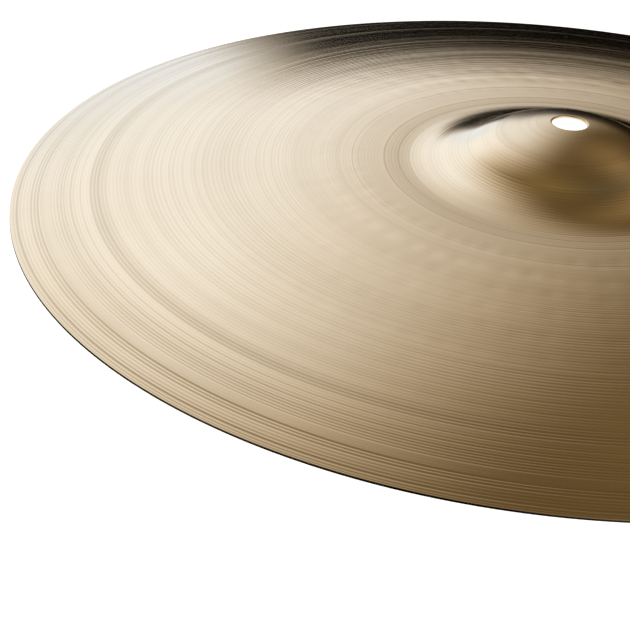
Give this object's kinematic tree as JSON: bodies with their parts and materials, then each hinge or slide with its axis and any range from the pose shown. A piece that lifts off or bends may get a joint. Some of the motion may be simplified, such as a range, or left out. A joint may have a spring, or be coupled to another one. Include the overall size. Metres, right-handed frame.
{
  "type": "crash cymbal",
  "caption": "Thin lathed bronze crash cymbal: a shallow curved bow, a raised bell in the middle and a plain hole for a cymbal stand.",
  "frame": {"origin": "on the cymbal's axis, level with the lowest edge of its rim, where it rests on a flat surface", "axes": "+Z along the axis of the hole, up through the bell; the cymbal is round, so +X is any direction square to it"},
  "size_m": [0.4064, 0.4064, 0.0405],
  "materials": {
    "bell_bronze": "lathed bell bronze, brilliant, with fine turning grooves round the axis"
  },
  "bodies": {
    "root": {"cymbal": "bell_bronze"}
  },
  "joints": []
}
